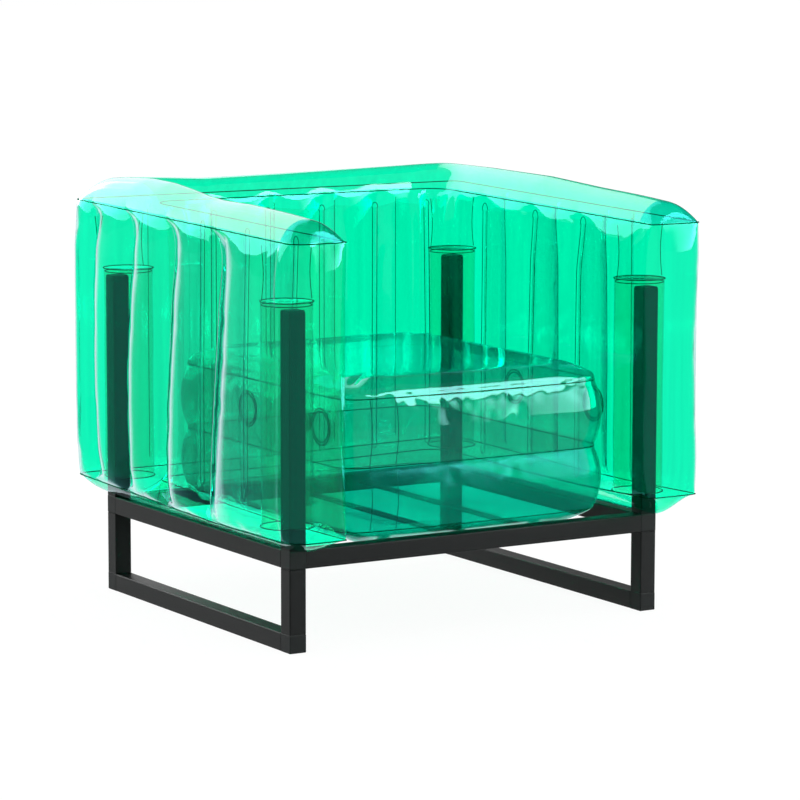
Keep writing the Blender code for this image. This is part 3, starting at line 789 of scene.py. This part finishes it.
sleeve_radius = 0.045
sleeve_bottom = 0.214
sleeve_top = 0.597
sleeve_dish = 0.004    # the closed top sinks to its middle
sleeve_cuts = 14
sleeve_shrink = 0.0006    # the tube is narrower than its top, and ripples by twice this
sleeve_ring_radius = 0.0009
sleeve_rings_at = ((sleeve_top, 0.0008), (sleeve_top - 0.006, -0.002), (sleeve_bottom, 0.0008))
sleeve_centres = {
    "left_front": (-0.361, -0.2905), "right_front": (0.361, -0.2905),
    "left_rear": (-0.3433, 0.3271), "right_rear": (0.361, 0.337),
}


def build_sleeve(name, centre):
    """A slightly rippled tube of film with a closed top."""
    select_only()
    bpy.ops.mesh.primitive_cylinder_add(vertices=40, radius=sleeve_radius, depth=sleeve_top - sleeve_bottom,
                                        end_fill_type="NOTHING",
                                        location=(*centre, (sleeve_top + sleeve_bottom) / 2))
    sleeve = bpy.context.object
    sleeve.name = f"film_sleeve_{name}"
    bpy.ops.object.transform_apply(location=True, rotation=False, scale=False)
    bm = bmesh.new()
    bm.from_mesh(sleeve.data)
    rim = [e for e in bm.edges if e.is_boundary and min(v.co.z for v in e.verts) > sleeve_top - 0.001]
    bmesh.ops.edgeloop_fill(bm, edges=rim)
    top = max(bm.faces, key=lambda f: f.calc_center_median().z)
    middle = bmesh.ops.poke(bm, faces=[top])["verts"][0]
    middle.co.z -= sleeve_dish
    uprights = [e for e in bm.edges if abs(e.verts[0].co.z - e.verts[1].co.z) > 0.1]
    bmesh.ops.subdivide_edges(bm, edges=uprights, cuts=sleeve_cuts)
    for vert in bm.verts:
        if vert.co.z < sleeve_top - 0.002 and (vert.co.xy - Vector(centre)).length > 0.01:
            away = (vert.co.xy - Vector(centre)).normalized()
            ripple = noise(Vector((vert.co.x * 40, vert.co.y * 40, vert.co.z * 9)))
            near_top = vert.co.z > sleeve_top - 0.02
            narrow = -2 * sleeve_shrink if near_top else -sleeve_shrink + 2 * sleeve_shrink * ripple
            vert.co.x += away.x * narrow
            vert.co.y += away.y * narrow
    bmesh.ops.recalc_face_normals(bm, faces=bm.faces)
    bm.to_mesh(sleeve.data)
    bm.free()
    sleeve.data.materials.append(sleeve_film)
    shade_smooth(sleeve)
    bpy.ops.object.shade_smooth_by_angle(angle=math.radians(40))
    return sleeve


def circle_path(centre, radius, height, count=40):
    return [Vector((centre[0] + radius * math.cos(2 * math.pi * k / count),
                    centre[1] + radius * math.sin(2 * math.pi * k / count), height)) for k in range(count)]


# Seat cushion

half_seat = 0.265
seat_front = -0.320
seat_rear = 0.276
seat_bottom_seam = 0.195
seat_middle_seam = 0.306
seat_top_seam = 0.424
seat_swell = 0.014
seat_swell_roundness = 0.85
seat_corner = 0.042
seat_bow = 0.010
seat_spans_x = 36
seat_spans_y = 40
corner_spans = 6
tier_spans = 14
fixed_rings = 6    # rings of the underside that lie on the slats and stay put

# The seat's underside and top in section: (inset, height) and (inset, rise above the top seam)
seat_underside = ((0.200, 0.1612), (0.150, 0.1612), (0.110, 0.1614), (0.075, 0.1622), (0.048, 0.1690),
                  (0.028, 0.1790), (0.012, 0.1872), (0.003, 0.1920))
seat_bead = ((-0.0015, 0.004), (-0.001, 0.009), (0.002, 0.0145), (0.008, 0.0195), (0.016, 0.0228),
             (0.027, 0.0250), (0.042, 0.0262), (0.062, 0.0268), (0.085, 0.0272), (0.110, 0.0275),
             (0.140, 0.0278))
seat_uprights = (-0.217, -0.165)
upright_bulge = 0.6
upright_period = 0.114
seat_pressure = 4.0
seat_spare = 0.004
seat_cap = 0.005


def seat_plan(inset):
    """The seat's outline from above, drawn in by the inset, with its front and rear bowed out."""
    half_x = half_seat - inset
    half_y = (seat_rear - seat_front) / 2 - inset
    radius = max(seat_corner - inset, 0.004)
    points = []
    for sx, sy in ((-1, -1), (1, -1), (1, 1), (-1, 1)):
        centre = Vector((sx * (half_x - radius), sy * (half_y - radius)))
        start = {(-1, -1): 180, (1, -1): 270, (1, 1): 0, (-1, 1): 90}[(sx, sy)]
        turns = [math.radians(start + 90 * k / corner_spans) for k in range(corner_spans + 1)]
        arc = [centre + radius * Vector((math.cos(turn), math.sin(turn))) for turn in turns]
        points.append(arc)
    loop = []
    for k, arc in enumerate(points):
        loop += arc
        following = points[(k + 1) % 4][0]
        spans = seat_spans_x if k % 2 == 0 else seat_spans_y
        loop += [arc[-1].lerp(following, s / spans) for s in range(1, spans)]
    for point in loop:
        bow = seat_bow * min(1, max(0, 1 - inset / 0.15))
        out = bow * (1 - (point.x / half_seat) ** 2) * (abs(point.y) / half_y) ** 4
        point.y += math.copysign(out, point.y)
    return loop


def seat_profile():
    """(inset, height) of the seat's skin from the underside to the middle of its top."""
    steps = list(seat_underside)
    for low, high in ((seat_bottom_seam, seat_middle_seam), (seat_middle_seam, seat_top_seam)):
        for step in range(tier_spans):
            share = step / tier_spans
            out = seat_swell * math.sin(math.pi * share) ** seat_swell_roundness if step else 0.0
            steps.append((-out, low + (high - low) * share))
    steps.append((0.0, seat_top_seam))
    steps += [(inset, seat_top_seam + rise) for inset, rise in seat_bead]
    return steps


def build_seat():
    """The film of the seat in two tiers, and the lines of its seams."""
    middle_y = (seat_front + seat_rear) / 2
    profile = seat_profile()
    rings = [[Vector((p.x, p.y + middle_y, height)) for p in seat_plan(inset)] for inset, height in profile]
    count = len(rings[0])
    vertices = [p for r in rings for p in r]
    faces = ring_faces(len(rings) - 1, count)
    fill_ring(vertices, faces, list(range(count)))
    fill_ring(vertices, faces, list(range((len(rings) - 1) * count, len(rings) * count)))
    seat = new_object("seat_cushion_film", vertices, faces, seat_film)
    select_only(seat)
    bpy.ops.object.mode_set(mode="EDIT")
    bpy.ops.mesh.select_all(action="SELECT")
    bpy.ops.mesh.normals_make_consistent(inside=False)
    bpy.ops.object.mode_set(mode="OBJECT")
    seams = [level for level, (_, height) in enumerate(profile)
             if height in (seat_bottom_seam, seat_middle_seam, seat_top_seam)]
    pinned = [level * count + k for level in seams for k in range(count)]
    pinned += range(fixed_rings * count)
    inflate(seat, pinned, seat_pressure, seat_spare, seat_cap)
    recess_round_valve(seat, seat_valve, 2, -1, seat_valve_floor)
    seat.data.materials.append(seat_base_film)
    base_index = 1
    for polygon in seat.data.polygons:
        if polygon.center.z < seat_middle_seam:
            polygon.material_index = base_index
    apply_modifier(seat, "SUBSURF", levels=1, render_levels=1)
    seams = [[Vector((p.x, p.y + middle_y, h)) for p in seat_plan(-0.001)]
             for h in (seat_bottom_seam, seat_middle_seam, seat_top_seam)]

    def upright_y(z):
        wave = abs(math.sin(math.pi * (z - seat_bottom_seam) / upright_period))
        return seat_front - 0.002 - seat_swell * upright_bulge * wave

    uprights = [[Vector((x, upright_y(z), z)) for z in heights(seat_bottom_seam, seat_top_seam, 20)]
                for x in seat_uprights]
    lines = tubes("seat_seams", seams + uprights, seam_line_radius * 0.8, weld_film, cyclic=(0, 1, 2))
    return seat, lines


def fill_ring(vertices, faces, ring):
    """Closes a ring of the seat with a grid of small faces, stretched between its four sides."""
    across, along = seat_spans_x + corner_spans, seat_spans_y + corner_spans
    count = len(ring)
    first = corner_spans // 2
    side_a = [ring[first + i] for i in range(across + 1)]
    side_b = [ring[first + across + j] for j in range(along + 1)]
    side_c = [ring[(first + 2 * across + along - i) % count] for i in range(across + 1)]
    side_d = [ring[(first - j) % count] for j in range(along + 1)]
    corners = [vertices[k] for k in (side_a[0], side_a[-1], side_c[-1], side_c[0])]
    grid = [side_a]
    for j in range(1, along):
        v = j / along
        row = [side_d[j]]
        for i in range(1, across):
            u = i / across
            place = (vertices[side_a[i]] * (1 - v) + vertices[side_c[i]] * v + vertices[side_d[j]] * (1 - u)
                     + vertices[side_b[j]] * u - corners[0] * ((1 - u) * (1 - v)) - corners[1] * (u * (1 - v))
                     - corners[2] * (u * v) - corners[3] * ((1 - u) * v))
            vertices.append(place)
            row.append(len(vertices) - 1)
        row.append(side_b[j])
        grid.append(row)
    grid.append(side_c)
    for low, high in zip(grid, grid[1:]):
        for i in range(across):
            faces.append((low[i], low[i + 1], high[i + 1], high[i]))


patch_x = 0.2808
patch_places = (-0.265, -0.009)
patch_height = 0.374
patch_radii = (0.0315, 0.0265)
patch_line_radius = 0.0011
patch_sides = 40


def build_patches():
    """The round patches on the sides of the seat: a disc of film each, with its double ring weld."""
    paths = []
    turns = [math.radians(360 // patch_sides * k) for k in range(patch_sides)]
    for side in (-1, 1):
        for y in patch_places:
            for radius in patch_radii:
                paths.append([Vector((side * patch_x, y + radius * math.cos(turn),
                                      patch_height + radius * math.sin(turn))) for turn in turns])
    rings = tubes("seat_patch_rings", paths, patch_line_radius, weld_film, cyclic=range(len(paths)))
    discs = new_object("seat_patches", [p for path in paths[::2] for p in path],
                       [tuple(range(patch_sides * k, patch_sides * (k + 1))) for k in range(4)], patch_film)
    return [rings, discs]


hanger_clearance = 0.003
hanger_top = 0.694
hanger_waist = 0.004
hanger_shares = (0, 0.25, 0.5, 0.75, 1)


def build_hangers():
    """Film across the wall above each sleeve, which holds the sleeve to both sides of the wall."""
    vertices, faces, edges = [], [], []
    for name, (x, y) in sleeve_centres.items():
        side = -1 if name.startswith("left") else 1
        outer, inner = side * (half_width - hanger_clearance), side * (inner_x + hanger_clearance)
        base = len(vertices)
        count = len(hanger_shares)
        levels = heights(sleeve_top + 0.002, hanger_top, 8)
        for height in levels:
            narrow = hanger_waist * math.sin(math.pi * (height - sleeve_top) / (hanger_top - sleeve_top))
            for share in hanger_shares:
                x_here = outer + (inner - outer) * share + side * narrow * (2 * share - 1)
                vertices.append(Vector((x_here, y, height)))
        faces += sheet_faces(base, len(levels) - 1, count - 1)
        for step in (0, count - 1):
            edges.append([vertices[base + level * count + step] for level in range(len(levels))])
    sheets = new_object("sleeve_hangers", vertices, faces, inner_film)
    lines = tubes("sleeve_hanger_welds", edges, line_radius, faint_weld_film)
    return [sheets, lines]


# Build and place everything

body = build_body()
webs = build_webs()
weld_lines = build_weld_lines()
seam_lines = build_seam_lines()
sleeves = {name: build_sleeve(name, centre) for name, centre in sleeve_centres.items()}
ring_paths = [circle_path(centre, sleeve_radius + widen, height) for centre in sleeve_centres.values()
              for height, widen in sleeve_rings_at]
sleeve_rings = tubes("sleeve_rings", ring_paths, sleeve_ring_radius, weld_film, cyclic=range(len(ring_paths)))
hangers = build_hangers()
seat, seat_lines = build_seat()
patches = build_patches()

for piece in (body, webs, seam_lines, sleeve_rings, seat, seat_lines, *patches, *hangers, *weld_lines,
              *sleeves.values()):
    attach(piece, "chair")
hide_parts(*[f"seat_disc_{side}_{end}" for side in ("left", "right") for end in ("front", "rear")])
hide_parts("back_and_arms")
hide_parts("web_left", "web_right", "web_back")
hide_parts("seat_cushion")
for name, sleeve in sleeves.items():
    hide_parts(f"sleeve_{name}")

# The nodes that are shown as they are, by the start of their names
finishes = (
    (("leg", "skid", "side_rail", "cross_rail", "post_left", "post_right"), coated_steel),
    (("foot_block", "top_block"), coated_casting),
    (("slat",), coated_steel),
    (("post_cap",), moulded_plug),
    (("post_screw", "rail_screw"), oxide_screw),
    (("valve",), valve_plastic),
)
for name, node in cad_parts.items():
    for starts, material in finishes:
        if name.startswith(starts):
            node.data.materials.clear()
            node.data.materials.append(material)

# Floor: white to the camera and to reflections, plain matt to the light that it throws back
select_only()
bpy.ops.mesh.primitive_plane_add(size=60, location=(0, 0, 0))
floor = bpy.context.object
floor.name = "studio_floor"
pale_floor, tree = new_material("pale_studio_floor")
rays = add_node(tree, "ShaderNodeLightPath").outputs
seen = maths(tree, "MAXIMUM", rays["Is Camera Ray"], rays["Is Glossy Ray"])
seen = maths(tree, "MAXIMUM", seen, rays["Is Transmission Ray"])
glow = layer(tree, "Emission", Color=linear("#FFFFFF"), Strength=0.94)
matt = layer(tree, "BsdfDiffuse", Color=linear("#5A5A5A"))
plain_matt = layer(tree, "BsdfDiffuse", Color=linear("#E8E8E8"))
surface = layer(tree, "MixShader", i0=seen, i1=plain_matt, i2=layer(tree, "AddShader", i0=glow, i1=matt))
add_node(tree, "ShaderNodeOutputMaterial", None, Surface=surface)
floor.data.materials.append(pale_floor)

# World: even white for the camera, and soft boxes that reflections alone see
world = bpy.data.worlds.new("soft_studio")
bpy.context.scene.world = world
world.use_nodes = True
tree = world.node_tree
tree.nodes.clear()
direction = add_node(tree, "ShaderNodeTexCoord").outputs["Generated"]
parts = add_node(tree, "ShaderNodeSeparateXYZ", None, Vector=direction).outputs
rays = add_node(tree, "ShaderNodeLightPath").outputs
azimuth = maths(tree, "ARCTAN2", parts[0], parts[1])
elevation = maths(tree, "ARCSINE", parts[2])


def softbox(azimuth_from, azimuth_to, low, high, soft, strength):
    """A bright rectangle of the studio, in degrees from straight behind the chair and above the floor."""
    edges = []
    for value, start, end in ((azimuth, azimuth_from, azimuth_to), (elevation, low, high)):
        for edge, before, after in ((start, 0.0, 1.0), (end, 1.0, 0.0)):
            edges.append(ramp(tree, value, math.radians(edge - soft), math.radians(edge + soft), before, after,
                              smooth=True))
    product = edges[0]
    for edge in edges[1:]:
        product = maths(tree, "MULTIPLY", product, edge)
    return maths(tree, "MULTIPLY", product, strength)


# Behind the chair on the left, brighter towards the left: the shine on the crown
rear_ramp = ramp(tree, azimuth, math.radians(33), math.radians(-26))
rear_box = softbox(-75, 31.4, 7.0, 45, 0.4, 1.0)
rear_light = maths(tree, "MULTIPLY", rear_box, ramp(tree, rear_ramp, to_min=0.7, to_max=7.5))

# Low in front on the right, brighter towards the side: the highlight on the seat's front
front_ramp = ramp(tree, azimuth, math.radians(148), math.radians(122), 1.5, 24.0)
front_light = maths(tree, "MULTIPLY", softbox(98, 148, -2, 26, 1.5, 1.0), front_ramp)
boxes = [
    rear_light,
    front_light,
    softbox(-9, 9, 2, 24, 1.5, 6.0),    # low behind the chair: glints at the welds of the back
    softbox(118, 148, 28, 48, 0.7, 22.0),    # high in front on the right: the seat's upper edge
    softbox(32.2, 80, 5, 60, 0.5, -0.6),    # a dark flag on the right: keeps the right arm's crown green
]
total = 0.7    # the studio's own brightness in reflections
for lamp in boxes:
    total = maths(tree, "ADD", total, lamp)
reflected = maths(tree, "MAXIMUM", rays["Is Glossy Ray"], rays["Is Transmission Ray"])
other = ramp(tree, rays["Is Camera Ray"], to_min=0.85)
strength = add_node(tree, "ShaderNodeMix", None, Factor=reflected, i2=other, i3=total).outputs[0]
sky = layer(tree, "Background", Color=linear("#FFFFFF"), Strength=strength)
add_node(tree, "ShaderNodeOutputWorld", None, Surface=sky)

# Camera and view
bpy.ops.object.camera_add(location=camera_place, rotation=camera_turn)
camera = bpy.context.object
camera.data.lens = camera_lens
camera.data.shift_x, camera.data.shift_y = camera_shift
camera.data.clip_end = 100
bpy.context.scene.camera = camera

scene = bpy.context.scene
scene.view_settings.view_transform = "Standard"
scene.cycles.transparent_max_bounces = 64
scene.cycles.max_bounces = 16
scene.cycles.glossy_bounces = 6
